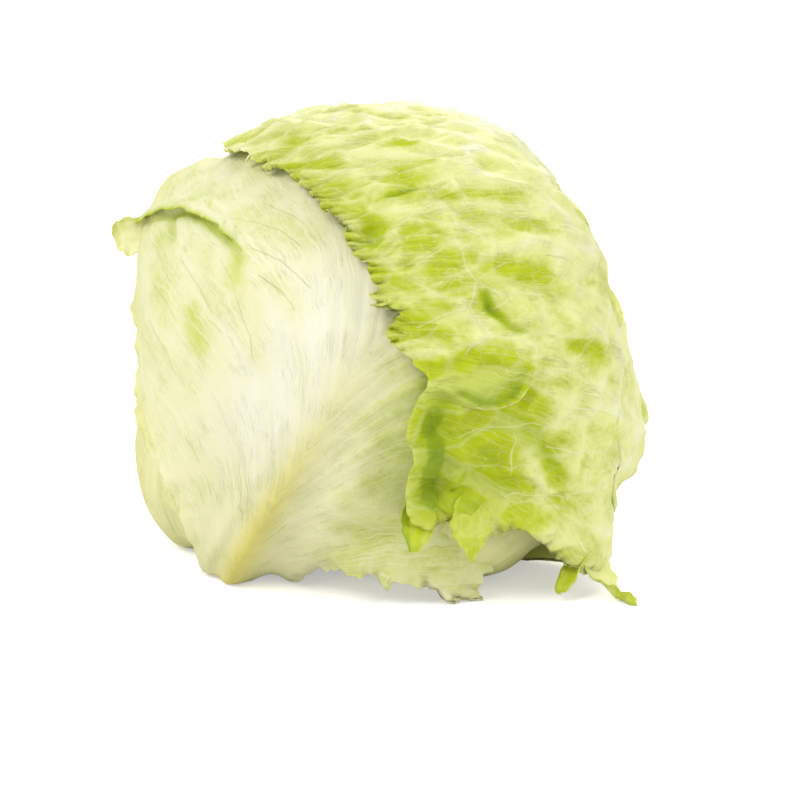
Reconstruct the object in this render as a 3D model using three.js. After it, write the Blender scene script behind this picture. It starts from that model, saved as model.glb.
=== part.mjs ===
// Iceberg lettuce, a whole loose-wrapped head lying as picked, stem end down and to the left.
// Millimetres, +Z up. The origin is the middle of the footprint of the whole head, on the surface
// that it rests on. Every leaf is a closed cupped shell that grows from the stem. All leaves are
// laid on one head shape, each one as deep inside it as the leaves that lie over it there.

import * as THREE from 'three';

// ---- Driving dimensions (mm, degrees) --------------------------------------------------------

const HEAD_CENTRE = [-3, 5, 72.5];      // height of the centre = how far the head is above its rest
const HEAD_HALF = [86, 80, 77];         // half width, half depth, half height before the bulges
const HEAD_SQUARENESS = 2.2;            // 2 is an ellipsoid, more is boxier
const HEAD_TILT = 23;                   // the growing axis leans this far to the right of upright

// Bulges and flats of the head: azimuth, elevation, how far out, how wide.
const BULGES = [
  [180, -38, 20, 24],                   // heavy lower left cheek
  [180, -8, -7, 24],
  [180, 22, 3, 24],
  [0, 32, -15, 22],                     // sloping right shoulder
  [0, 5, -14, 22],
  [0, -22, 9, 22],                      // lower right belly
  [-142, -50, 8, 16],                   // knuckle of the front wrapper's rib
];

const STEM_CUT_RADIUS = 15;
const STEM_TOP_RADIUS = 6;
const STEM_CUT_DEPTH = 71;              // from the head's centre to the cut face
const STEM_TOP_DEPTH = 20;
const STEM_CLEARANCE = 2.4;             // leaf foot to stem
const FOOT_SWING = 172;                 // the foot takes the last few degrees of the outline

const BLADE_THICKNESS = 1.1;
const RIB_EXTRA = 0.9;                  // added at the foot of the midrib
const RIB_HALF_ANGLE = 8;
const WRAPPER_PITCH = 4.4;              // from one loose wrapper leaf to the next
const HEAD_LEAF_DEPTH = 21;             // from the outer skin to the first leaf of the firm head
const HEAD_LEAF_PITCH = 4.4;            // from one leaf of the firm head to the next
const HEART_LEAF_PITCH = 3.6;
const COVER_FADE = 24;                  // a leaf's edge presses on those below it over this angle
const REST_SNAP = 0.6;                  // skin lower than this is pressed flat on the surface

const RIGHT_WRAPPER_GRID = 18;          // facets across the leaf, each way
const WRAPPER_GRID = 14;
const HEAD_LEAF_GRID = 11;
const HEART_LEAF_GRID = 7;

// ---- Leaves, from the outside in -------------------------------------------------------------
// centre: angle from the stem, and angle round the head from its right side, of the leaf's middle.
// outline: the reach of the leaf from its middle, as [direction, angle] pairs, where direction 0
// points to the leaf's tip and 180 to its foot. hang: the part that drops off the widest part of
// the head instead of following it under: below an elevation, between two azimuths, how much.
// foot: half the angle that the leaf's foot takes round the stem.

const WRAPPERS = [
  {
    name: 'wrapper_leaf_right', colour: '#d3e07a', centre: [105, 15],
    outline: [[-168, 68], [-158, 51], [-148, 46], [-138, 51], [-131, 59], [-126, 64],
      [-120, 68], [-116, 78], [-112, 91], [-104, 97], [-92, 100], [-80, 100], [-66, 107],
      [-50, 115], [-30, 125], [-6, 134], [12, 137], [30, 134], [50, 120], [75, 100], [105, 82],
      [135, 64], [155, 56], [168, 68]],
    hang: { below: -22, until: -48, from: -112, to: -32, share: 1 },
    foot: 34,
    grid: RIGHT_WRAPPER_GRID,
  },
  {
    name: 'wrapper_leaf_front', colour: '#e6e9b4', centre: [75, -112],
    outline: [[-168, 50], [-160, 41], [-149, 37], [-134, 39], [-126, 47], [-117, 54],
      [-104, 53], [-95, 57], [-88, 61], [-83, 68], [-77, 74], [-60, 79], [-40, 82], [-15, 78],
      [15, 73], [45, 68], [75, 64], [100, 61], [110, 60], [120, 61], [128, 60], [134, 51],
      [142, 45], [155, 44], [166, 48]],
    hang: { below: -36, until: -62, from: -98, to: -40, share: 0.9 },
    foot: 36,
  },
  {
    name: 'wrapper_leaf_left', colour: '#e3e7a6', centre: [82, -178],
    outline: [[-164, 54], [-145, 50], [-120, 58], [-90, 66], [-60, 78], [-30, 84], [0, 84],
      [30, 80], [60, 72], [90, 64], [120, 60], [145, 56], [164, 58]],
    foot: 34,
  },
  {
    name: 'wrapper_leaf_back', colour: '#cfdd78', centre: [88, 112],
    outline: [[-164, 60], [-145, 56], [-120, 62], [-90, 68], [-60, 78], [-30, 88], [0, 90],
      [30, 84], [60, 72], [90, 64], [120, 56], [145, 53], [164, 60]],
    foot: 34,
  },
  {
    name: 'wrapper_leaf_low', colour: '#dfe5a0', centre: [78, -52],
    outline: [[-164, 52], [-145, 48], [-120, 54], [-90, 62], [-60, 72], [-30, 80], [0, 82],
      [30, 78], [60, 72], [90, 62], [120, 52], [145, 48], [164, 52]],
    foot: 34,
  },
  {
    name: 'wrapper_leaf_rear_right', colour: '#ebe9bf', centre: [80, 58],
    outline: [[-164, 54], [-145, 50], [-120, 56], [-90, 64], [-60, 74], [-30, 80], [0, 82],
      [30, 78], [60, 70], [90, 60], [120, 52], [145, 49], [164, 54]],
    foot: 34,
  },
];

const HEAD_LEAF_COUNT = 6;
const HEART_LEAF_COUNT = 5;
const GOLDEN_TURN = 137.5;              // each new leaf grows this far round from the last
const FIRST_TURN = 200;
const HEAD_LEAF_OUTLINE = [[-160, 68], [-120, 66], [-90, 76], [-60, 86], [-30, 92], [0, 94],
  [30, 92], [60, 86], [90, 76], [120, 66], [160, 68]];
const HEART_LEAF_OUTLINE = [[-155, 52], [-120, 50], [-90, 58], [-60, 68], [-30, 76], [0, 78],
  [30, 76], [60, 68], [90, 58], [120, 50], [155, 52]];

// ---- Small maths -----------------------------------------------------------------------------

const DEG = Math.PI / 180;
const dot = (a, b) => a[0] * b[0] + a[1] * b[1] + a[2] * b[2];
const mix = (a, b, t) => a + (b - a) * t;
const combine = (...terms) => [0, 1, 2].map((i) => terms.reduce((sum, [k, v]) => sum + k * v[i], 0));
const distance = (a, b) => Math.hypot(a[0] - b[0], a[1] - b[1], a[2] - b[2]);
const unit = (v) => combine([1 / Math.hypot(...v), v]);
const angleBetween = (a, b) => Math.acos(Math.max(-1, Math.min(1, dot(a, b)))) / DEG;

function smoothstep(from, to, x) {
  const t = Math.max(0, Math.min(1, (x - from) / (to - from)));
  return t * t * (3 - 2 * t);
}

function direction(azimuth, elevation) {
  const [a, e] = [azimuth * DEG, elevation * DEG];
  return [Math.cos(a) * Math.cos(e), Math.sin(a) * Math.cos(e), Math.sin(e)];
}

// ---- Shape of the head -----------------------------------------------------------------------

const STEM_DIRECTION = [-Math.sin(HEAD_TILT * DEG), 0, -Math.cos(HEAD_TILT * DEG)];
const RIGHT_OF_AXIS = [Math.cos(HEAD_TILT * DEG), 0, -Math.sin(HEAD_TILT * DEG)];
const BACK_OF_AXIS = [0, 1, 0];
const BULGE_LIST = BULGES.map(([az, el, out, wide]) => ({ at: direction(az, el), out, wide }));
const HANG_FADE = 18;                   // the hanging part blends back to the head over this angle
const REST_BLEND = 3;                   // rounding where the flat rest meets the cheeks
const BULGE_REACH = 60;                 // the bulges have evened out this far in

function headRadius(d, depth) {
  const power = d.reduce((sum, x, i) => sum + Math.abs(x / HEAD_HALF[i]) ** HEAD_SQUARENESS, 0);
  const evening = 1 - smoothstep(0, BULGE_REACH, depth);
  let radius = power ** (-1 / HEAD_SQUARENESS) - depth;
  for (const bulge of BULGE_LIST) {
    radius += bulge.out * evening * Math.exp(-((angleBetween(d, bulge.at) / bulge.wide) ** 2));
  }
  if (d[2] > -0.05) return radius;
  const floor = (HEAD_CENTRE[2] - depth) / -d[2];
  const share = Math.max(0, Math.min(1, 0.5 + (floor - radius) / (2 * REST_BLEND)));
  return mix(floor, radius, share) - REST_BLEND * share * (1 - share);
}

// The point of the head's skin in direction d, as far in as depth says, with its hanging part.
function skinPoint(d, depth, hang) {
  const onHead = combine([1, HEAD_CENTRE], [headRadius(d, depth), d]);
  const elevation = Math.asin(d[2]) / DEG;
  if (!hang || elevation >= hang.below) return onHead;
  const azimuth = Math.atan2(d[1], d[0]) / DEG;
  const inside = smoothstep(hang.from - HANG_FADE, hang.from, azimuth)
    * (1 - smoothstep(hang.to, hang.to + HANG_FADE, azimuth))
    * (1 - smoothstep(hang.until, hang.until - HANG_FADE, elevation));
  const brow = direction(azimuth, hang.below);
  const browRadius = headRadius(brow, depth);
  const drop = browRadius * (hang.below - elevation) * DEG * 0.95;
  const hung = combine([1, HEAD_CENTRE], [browRadius, brow], [-drop, [0, 0, 1]]);
  const share = hang.share * inside;
  return combine([1 - share, onHead], [share, hung]);
}

// ---- Leaves ----------------------------------------------------------------------------------

// A leaf's own directions: its middle, the way to its tip, and the way to its right edge.
function leafFrame([fromStem, round]) {
  const outward = combine([Math.cos(round * DEG), RIGHT_OF_AXIS], [Math.sin(round * DEG), BACK_OF_AXIS]);
  const middle = combine([Math.cos(fromStem * DEG), STEM_DIRECTION], [Math.sin(fromStem * DEG), outward]);
  const tip = combine([-Math.sin(fromStem * DEG), STEM_DIRECTION], [Math.cos(fromStem * DEG), outward]);
  const side = new THREE.Vector3(...tip).cross(new THREE.Vector3(...middle)).toArray();
  return { middle, tip, side, outward };
}

function toLeafPlane(frame, d) {
  const reach = angleBetween(d, frame.middle);
  const [x, y] = [dot(d, frame.side), dot(d, frame.tip)];
  const length = Math.hypot(x, y) || 1;
  return [reach * x / length, reach * y / length];
}

function fromLeafPlane(frame, [x, y]) {
  const reach = Math.hypot(x, y) * DEG;
  const swing = Math.atan2(x, y);
  return unit(combine([Math.cos(reach), frame.middle],
    [Math.sin(reach) * Math.cos(swing), frame.tip],
    [Math.sin(reach) * Math.sin(swing), frame.side]));
}

// Reach of the leaf's margin in one direction.
function outlineReach(leaf, swing) {
  const points = leaf.margin;
  let i = 0;
  while (i < points.length - 2 && points[i + 1][0] < swing) i += 1;
  const [[a0, r0], [a1, r1]] = [points[i], points[i + 1]];
  return mix(r0, r1, (swing - a0) / (a1 - a0));
}

// The reach at which the leaf's foot meets the stem: the foot clasps it.
function footReach(leaf, swing) {
  let reach = leaf.centre[0];
  for (let pass = 0; pass < 12; pass += 1) {
    const [x, y] = [reach * Math.sin(swing * DEG), reach * Math.cos(swing * DEG)];
    const d = fromLeafPlane(leaf.frame, [x, y]);
    const angle = angleBetween(d, STEM_DIRECTION);
    const radius = headRadius(d, depthAt(leaf, d));
    const clear = stemRadius(radius * Math.cos(angle * DEG)) + STEM_CLEARANCE;
    reach += 0.7 * (angle - Math.asin(Math.min(0.9, clear / radius)) / DEG);
  }
  return reach;
}

function marginPoint(leaf, swing) {
  const reach = outlineReach(leaf, swing);
  return [reach * Math.sin(swing * DEG), reach * Math.cos(swing * DEG)];
}

// The margin shared out by its length, from the left corner of the foot to the right one.
function marginShares(leaf) {
  const swings = [];
  for (let swing = -180; swing <= 180; swing += 1) swings.push(swing);
  const points = swings.map((swing) => fromLeafPlane(leaf.frame, marginPoint(leaf, swing)));
  const lengths = [0];
  for (let i = 1; i < points.length; i += 1) {
    lengths.push(lengths[i - 1] + angleBetween(points[i - 1], points[i]));
  }
  return (share) => {
    const target = share * lengths.at(-1);
    let i = 1;
    while (i < lengths.length - 1 && lengths[i] < target) i += 1;
    return mix(swings[i - 1], swings[i], (target - lengths[i - 1]) / (lengths[i] - lengths[i - 1]));
  };
}

function covers(leaf, d) {
  const [x, y] = toLeafPlane(leaf.frame, d);
  const beyond = Math.hypot(x, y) - outlineReach(leaf, Math.atan2(x, y) / DEG);
  const neck = 1 - smoothstep(leaf.foot, leaf.foot + 25, angleRound(leaf, d));
  const nearStem = 1 - smoothstep(28, 48, angleBetween(d, STEM_DIRECTION));
  const byOutline = 1 - smoothstep(3, COVER_FADE, beyond);
  return Math.max(byOutline, neck * nearStem);
}

// How far round the stem a direction lies from the leaf's midrib.
function angleRound(leaf, d) {
  const flat = unit(combine([1, d], [-dot(d, STEM_DIRECTION), STEM_DIRECTION]));
  return angleBetween(flat, leaf.frame.outward);
}

// Wrappers lie one on the other where they overlap; the leaves of the firm head are even shells.
function depthAt(leaf, d) {
  return leaf.depth ?? leaf.above.reduce((sum, other) => sum + WRAPPER_PITCH * covers(other, d), 0);
}

function stemRadius(height) {
  const t = Math.max(0, Math.min(1, (STEM_CUT_DEPTH - height) / (STEM_CUT_DEPTH - STEM_TOP_DEPTH)));
  return mix(STEM_CUT_RADIUS, STEM_TOP_RADIUS, t);
}

// A square grid drawn into a disc, and the disc stretched to the leaf's outline.
function leafGeometry(leaf, cellsAcross) {
  const outer = [];
  const inner = [];
  const shares = marginShares(leaf);
  const rows = cellsAcross + 1;
  for (let j = 0; j < rows; j += 1) {
    for (let i = 0; i < rows; i += 1) {
      const [u, v] = [2 * i / cellsAcross - 1, 2 * j / cellsAcross - 1];
      const [x, y] = [u * Math.sqrt(1 - v * v / 2), v * Math.sqrt(1 - u * u / 2)];
      const [edgeX, edgeY] = marginPoint(leaf, shares(0.5 + Math.atan2(x, y) / (2 * Math.PI)));
      const reach = Math.hypot(x, y);
      const across = reach * edgeX;
      const along = reach * edgeY;
      const d = fromLeafPlane(leaf.frame, [across, along]);
      const depth = depthAt(leaf, d);
      const toFoot = 1 - smoothstep(10, 90, angleBetween(d, STEM_DIRECTION));
      const rib = RIB_EXTRA * Math.exp(-((across / RIB_HALF_ANGLE) ** 2)) * toFoot;
      const skin = skinPoint(d, depth, leaf.hang);
      const under = skinPoint(d, depth + BLADE_THICKNESS + rib, leaf.hang);
      if (skin[2] < REST_SNAP) skin[2] = 0;
      under[2] = Math.max(under[2], skin[2] === 0 ? BLADE_THICKNESS : 0.2);
      outer.push(skin);
      inner.push(under);
    }
  }
  const cells = [];
  for (let j = 0; j < cellsAcross; j += 1) {
    for (let i = 0; i < cellsAcross; i += 1) {
      const a = j * rows + i;
      const [b, c, d] = [a + 1, a + rows + 1, a + rows];
      const shorter = distance(outer[a], outer[c]) < distance(outer[b], outer[d]);
      cells.push(shorter ? [a, b, c, d] : [b, c, d, a]);
    }
  }
  const rim = [];
  for (let i = 0; i < cellsAcross; i += 1) rim.push(i);
  for (let j = 0; j < cellsAcross; j += 1) rim.push(j * rows + cellsAcross);
  for (let i = cellsAcross; i > 0; i -= 1) rim.push(cellsAcross * rows + i);
  for (let j = cellsAcross; j > 0; j -= 1) rim.push(j * rows);
  return shellGeometry(outer, inner, cells, rim);
}

// A closed shell from two matching skins, their cells, and the loop of points round the edge.
function shellGeometry(outer, inner, cells, rim) {
  const count = outer.length;
  const index = [];
  for (const [a, b, c, d] of cells) {
    index.push(a, b, c, a, c, d);
    index.push(count + a, count + c, count + b, count + a, count + d, count + c);
  }
  rim.forEach((a, k) => {
    const b = rim[(k + 1) % rim.length];
    index.push(b, a, count + b, a, count + a, count + b);
  });
  const geometry = new THREE.BufferGeometry();
  geometry.setAttribute('position', new THREE.Float32BufferAttribute([...outer, ...inner].flat(), 3));
  geometry.setIndex(index);
  geometry.computeVertexNormals();
  return geometry;
}

// ---- Assembly --------------------------------------------------------------------------------

function material(colour) {
  return new THREE.MeshStandardMaterial({ color: colour, roughness: 0.5, metalness: 0 });
}

const lettuce = new THREE.Group();
const leaves = [];

function addLeaf(leaf, grid) {
  leaf.frame = leafFrame(leaf.centre);
  leaf.above = [...leaves];
  leaf.margin = [
    [-180, footReach(leaf, 180)], [-FOOT_SWING, footReach(leaf, -FOOT_SWING)],
    ...leaf.outline,
    [FOOT_SWING, footReach(leaf, FOOT_SWING)], [180, footReach(leaf, 180)],
  ];
  const mesh = new THREE.Mesh(leafGeometry(leaf, grid), material(leaf.colour));
  mesh.name = leaf.name;
  lettuce.add(mesh);
  leaves.push(leaf);
}

WRAPPERS.forEach((leaf) => addLeaf(leaf, leaf.grid ?? WRAPPER_GRID));
for (let k = 0; k < HEAD_LEAF_COUNT; k += 1) {
  addLeaf({
    name: `head_leaf_${k + 1}`,
    colour: '#e9ecc0',
    centre: [100, FIRST_TURN + k * GOLDEN_TURN],
    depth: HEAD_LEAF_DEPTH + k * HEAD_LEAF_PITCH,
    outline: HEAD_LEAF_OUTLINE,
    foot: 32,
  }, HEAD_LEAF_GRID);
}
for (let k = 0; k < HEART_LEAF_COUNT; k += 1) {
  addLeaf({
    name: `heart_leaf_${k + 1}`,
    colour: '#ece9a8',
    centre: [88, FIRST_TURN + (HEAD_LEAF_COUNT + k) * GOLDEN_TURN],
    depth: HEAD_LEAF_DEPTH + HEAD_LEAF_COUNT * HEAD_LEAF_PITCH + k * HEART_LEAF_PITCH,
    outline: HEART_LEAF_OUTLINE,
    foot: 32,
  }, HEART_LEAF_GRID);
}

function stem() {
  const taper = [[0, -STEM_CUT_DEPTH], [STEM_CUT_RADIUS - 1, -STEM_CUT_DEPTH],
    [STEM_CUT_RADIUS, -STEM_CUT_DEPTH + 1.5], [STEM_TOP_RADIUS, -STEM_TOP_DEPTH],
    [STEM_TOP_RADIUS * 0.6, -STEM_TOP_DEPTH + 4], [0, -STEM_TOP_DEPTH + 5]];
  const geometry = new THREE.LatheGeometry(taper.map(([r, h]) => new THREE.Vector2(r, h)), 20);
  geometry.rotateX(Math.PI / 2);
  geometry.rotateY(HEAD_TILT * DEG);
  geometry.translate(...HEAD_CENTRE);
  const mesh = new THREE.Mesh(geometry, material('#e8e2b8'));
  mesh.name = 'stem';
  return mesh;
}
lettuce.add(stem());

const box = new THREE.Box3().setFromObject(lettuce);
const middle = box.getCenter(new THREE.Vector3());
lettuce.position.set(-middle.x, -middle.y, -box.min.z);

export default lettuce;
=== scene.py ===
"""Iceberg lettuce: a whole loose-wrapped head, lying as picked, stem end down and to the left.

Every leaf is a thin crinkled blade that grows from the stem and lies over the leaves inside it.
Shapes are worked out in millimetres and degrees, in the frame of the solids, and kept in metres.
"""
import math

import bmesh
import bpy
import numpy as np
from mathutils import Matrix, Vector, kdtree, noise


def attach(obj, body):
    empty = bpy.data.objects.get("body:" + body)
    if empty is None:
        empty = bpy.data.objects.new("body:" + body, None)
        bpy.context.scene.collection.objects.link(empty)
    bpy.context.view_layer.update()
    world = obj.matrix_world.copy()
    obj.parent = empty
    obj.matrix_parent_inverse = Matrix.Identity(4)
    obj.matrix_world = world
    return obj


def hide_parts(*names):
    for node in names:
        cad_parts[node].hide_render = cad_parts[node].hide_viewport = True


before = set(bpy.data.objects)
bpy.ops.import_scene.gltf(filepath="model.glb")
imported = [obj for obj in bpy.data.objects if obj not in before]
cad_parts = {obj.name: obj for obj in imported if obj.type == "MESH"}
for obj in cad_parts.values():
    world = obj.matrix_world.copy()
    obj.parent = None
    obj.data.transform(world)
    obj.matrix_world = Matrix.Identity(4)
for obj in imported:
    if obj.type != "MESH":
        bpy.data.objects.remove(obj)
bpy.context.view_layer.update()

MM = 0.001


# ---- Camera, light and floor -----------------------------------------------------------------
# A table-top product stand: a pale seamless floor, one large soft lamp high on the left, a wide
# one behind and a weak one on the right, and a long lens a little above the head.

CAMERA_DISTANCE = 0.884
CAMERA_ELEVATION = 14.5
CAMERA_AIM = (0.004, -0.005, 0.0524)
CAMERA_LENS = 119.5
LAMP_AIM = (0, 0, 0.07)
SOFT_LIGHT = 0.75                 # how strongly the white room lights the head
FLOOR_GLOW = 0.42                 # lifts the floor to white and leaves the shadow on it
FLOOR_HALF = 4

elevation = math.radians(CAMERA_ELEVATION)
camera = bpy.data.objects.new("camera", bpy.data.cameras.new("camera"))
camera.data.lens = CAMERA_LENS
camera.data.sensor_width = 36
backwards = Vector((0, -math.cos(elevation), math.sin(elevation)))
camera.location = Vector(CAMERA_AIM) + CAMERA_DISTANCE * backwards
camera.rotation_euler = (math.pi / 2 - elevation, 0, 0)
bpy.context.scene.collection.objects.link(camera)
bpy.context.scene.camera = camera
bpy.context.scene.view_settings.view_transform = "Standard"


def srgb(code):
    """A hex colour as linear red, green, blue and alpha."""
    parts = [int(code[i:i + 2], 16) / 255 for i in (1, 3, 5)]
    return (*[c / 12.92 if c <= 0.04045 else ((c + 0.055) / 1.055) ** 2.4 for c in parts], 1.0)


def add_node(tree, kind, inputs=(), **settings):
    """A new node with its settings. Its inputs are given as socket name or number: value or output."""
    node = tree.nodes.new(kind)
    for key, value in settings.items():
        setattr(node, key, value)
    for socket, value in dict(inputs).items():
        if isinstance(value, bpy.types.NodeSocket):
            tree.links.new(value, node.inputs[socket])
        else:
            node.inputs[socket].default_value = value
    return node


def area_lamp(name, place, size, power):
    """A square soft lamp that faces the middle of the head."""
    lamp = bpy.data.objects.new(name, bpy.data.lights.new(name, "AREA"))
    lamp.data.size = size
    lamp.data.energy = power
    lamp.location = place
    lamp.rotation_euler = (Vector(LAMP_AIM) - Vector(place)).to_track_quat("-Z", "Y").to_euler()
    bpy.context.scene.collection.objects.link(lamp)


area_lamp("key_lamp", (-0.75, -0.75, 1.15), 0.7, 11)
area_lamp("back_lamp", (0.25, 1.1, 0.9), 0.9, 8)
area_lamp("fill_lamp", (1.1, -0.5, 0.5), 0.8, 4.5)

world = bpy.data.worlds.new("studio")
bpy.context.scene.world = world
world.use_nodes = True
tree = world.node_tree
tree.nodes.clear()
ray = add_node(tree, "ShaderNodeLightPath")
seen = add_node(tree, "ShaderNodeMath", {0: ray.outputs["Is Camera Ray"], 1: ray.outputs["Is Glossy Ray"]},
                operation="MAXIMUM")
level = add_node(tree, "ShaderNodeMapRange",
                 {"Value": seen.outputs[0], "To Min": SOFT_LIGHT, "To Max": 1.0})
sky = add_node(tree, "ShaderNodeBackground", {"Color": (1, 1, 1, 1), "Strength": level.outputs[0]})
add_node(tree, "ShaderNodeOutputWorld", {"Surface": sky.outputs[0]})

bm = bmesh.new()
bmesh.ops.create_grid(bm, x_segments=1, y_segments=1, size=FLOOR_HALF)
floor_mesh = bpy.data.meshes.new("floor")
bm.to_mesh(floor_mesh)
bm.free()
floor = bpy.data.objects.new("floor", floor_mesh)
bpy.context.scene.collection.objects.link(floor)
paper = bpy.data.materials.new("matt_white_paper")
paper.use_nodes = True
tree = paper.node_tree
tree.nodes.clear()
ray = add_node(tree, "ShaderNodeLightPath")
sheet = add_node(tree, "ShaderNodeBsdfDiffuse", {"Color": srgb("#f4f3f0")})
glow = add_node(tree, "ShaderNodeEmission", {"Color": (1, 1, 1, 1), "Strength": FLOOR_GLOW})
lit = add_node(tree, "ShaderNodeAddShader", {0: sheet.outputs[0], 1: glow.outputs[0]})
shown = add_node(tree, "ShaderNodeMixShader",
                 {0: ray.outputs["Is Camera Ray"], 1: sheet.outputs[0], 2: lit.outputs[0]})
add_node(tree, "ShaderNodeOutputMaterial", {"Surface": shown.outputs[0]})
floor_mesh.materials.append(paper)


# ---- The head: what every leaf lies on -------------------------------------------------------
# A head grows as one tight ball, so all its leaves lie on one shape, each as deep inside it as
# the leaves over it. The ball sags on its left cheek and on its right belly where it lies.

HEAD_CENTRE = np.array([1.15, -0.03, 72.5])
HEAD_HALF = np.array([86.0, 80.0, 77.0])
HEAD_SQUARENESS = 2.2
HEAD_TILT = math.radians(23)
# Where it bulges or (below 0) is hollow: azimuth, elevation, how far in mm, how wide in degrees.
BULGES = [(180, -38, 20, 24), (180, -8, -7, 24), (180, 22, 3, 24), (0, 32, -15, 22),
          (0, 5, -14, 22), (0, -22, 9, 22), (-142, -50, 8, 16)]
BULGE_REACH = 60                  # the bulges have evened out this deep inside
REST_BLEND = 3                    # rounds the flat rest into the cheeks, in mm
LEVEL = 0.05                      # a direction that points down less than this misses the surface
HANG_FADE = 18
HANG_STRETCH = 0.95               # a hanging part drops a little less than its length
WRAPPER_PITCH = 4.4               # from one loose wrapper leaf to the next
COVER_FADE = 24                   # a leaf's edge presses on those below it over this many degrees
COVER_OVERHANG = 3
FOOT_SWING = 172                  # the foot takes the last few degrees of the outline
STEM_HALF_ANGLE = 15
DEGREE_MM = 1.4                   # one degree round the head, on its skin
DOWN_STEM = np.array([-math.sin(HEAD_TILT), 0, -math.cos(HEAD_TILT)])
RIGHT_OF_AXIS = np.array([math.cos(HEAD_TILT), 0, -math.sin(HEAD_TILT)])
BACK_OF_AXIS = np.array([0, 1.0, 0])


def smoothstep(low, high, x):
    """0 below low and 1 above high, or the other way round, with a smooth rise between them."""
    t = np.clip((x - low) / (high - low), 0, 1)
    return t * t * (3 - 2 * t)


def direction(azimuth, elevation):
    a, e = np.radians(azimuth), np.radians(elevation)
    return np.stack([np.cos(a) * np.cos(e), np.sin(a) * np.cos(e), np.sin(e) + 0 * a], -1)


def unit(v):
    return v / np.linalg.norm(v, axis=-1, keepdims=True)


def angle_between(a, b):
    return np.degrees(np.arccos(np.clip((a * b).sum(-1), -1, 1)))


def bell(gap, width):
    """1 in the middle, fading out about width to each side."""
    return np.exp(-(gap / width) ** 2)


def swell(d, azimuth, height, wide):
    """1 in one direction of the head, fading out about wide degrees round it."""
    return bell(angle_between(d, direction(azimuth, height)), wide)


def head_radius(d, depth):
    """How far the leaf at this depth is from the head's centre, pressed flat where it rests."""
    radius = (np.abs(d / HEAD_HALF) ** HEAD_SQUARENESS).sum(-1) ** (-1 / HEAD_SQUARENESS) - depth
    evening = 1 - smoothstep(0, BULGE_REACH, depth)
    for azimuth, height, out, wide in BULGES:
        radius = radius + out * evening * swell(d, azimuth, height, wide)
    under = (HEAD_CENTRE[2] - np.maximum(depth, 0)) / np.maximum(-d[:, 2], LEVEL)
    share = np.clip(0.5 + (under - radius) / (2 * REST_BLEND), 0, 1)
    resting = under + (radius - under) * share - REST_BLEND * share * (1 - share)
    return np.where(d[:, 2] > -LEVEL, radius, resting)


def skin_point(d, depth, hang):
    """Where direction d meets the leaf at this depth, and how it drops where it hangs free."""
    on_head = HEAD_CENTRE + head_radius(d, depth)[:, None] * d
    if not hang:
        return on_head
    height = np.degrees(np.arcsin(d[:, 2]))
    azimuth = np.degrees(np.arctan2(d[:, 1], d[:, 0]))
    inside = (smoothstep(hang["from"] - HANG_FADE, hang["from"], azimuth)
              * (1 - smoothstep(hang["to"], hang["to"] + HANG_FADE, azimuth))
              * (1 - smoothstep(hang["until"], hang["until"] - HANG_FADE, height)))
    brow = direction(azimuth, hang["below"] + 0 * azimuth)
    radius = head_radius(brow, depth)
    drop = radius * np.radians(np.maximum(hang["below"] - height, 0)) * HANG_STRETCH
    hung = HEAD_CENTRE + radius[:, None] * brow
    hung[:, 2] -= drop
    share = (hang["share"] * inside * (height < hang["below"]))[:, None]
    return on_head * (1 - share) + hung * share


RIM_STEPS = 1600
LEAST_TURN = 0.015                # degrees from one corner to the next, as seen from the hub


def smooth_loop(corners, steps=10):
    """A smooth closed curve through the corners."""
    p = np.array(corners, float)
    before, after, beyond = np.roll(p, 1, 0), np.roll(p, -1, 0), np.roll(p, -2, 0)
    t = np.linspace(0, 1, steps, endpoint=False)[:, None, None]
    curve = (2 * p + (after - before) * t + (2 * before - 5 * p + 4 * after - beyond) * t ** 2
             + (3 * p - before - 3 * after + beyond) * t ** 3) / 2
    return curve.transpose(1, 0, 2).reshape(-1, 2)


def seen_from(hub, loop):
    """The same closed curve, its overhanging parts drawn back so that all of it is seen from the hub."""
    turn = np.unwrap(np.arctan2(*(loop - hub).T))
    least = np.radians(LEAST_TURN) * np.arange(len(turn))
    turn = np.maximum.accumulate(turn - least) + least
    turn = np.minimum(turn, turn[0] + 2 * math.pi * 0.9999)
    far = np.linalg.norm(loop - hub, axis=1)
    return hub + np.stack([far * np.sin(turn), far * np.cos(turn)], 1)


def even_loop(points):
    """The same closed curve in RIM_STEPS even steps, its first point repeated at the end."""
    loop = np.vstack([points, points[:1]])
    run = np.concatenate([[0], np.cumsum(np.linalg.norm(np.diff(loop, axis=0), axis=1))])
    at = np.linspace(0, run[-1], RIM_STEPS + 1)
    return np.stack([np.interp(at, run, loop[:, 0]), np.interp(at, run, loop[:, 1])], 1)


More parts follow.
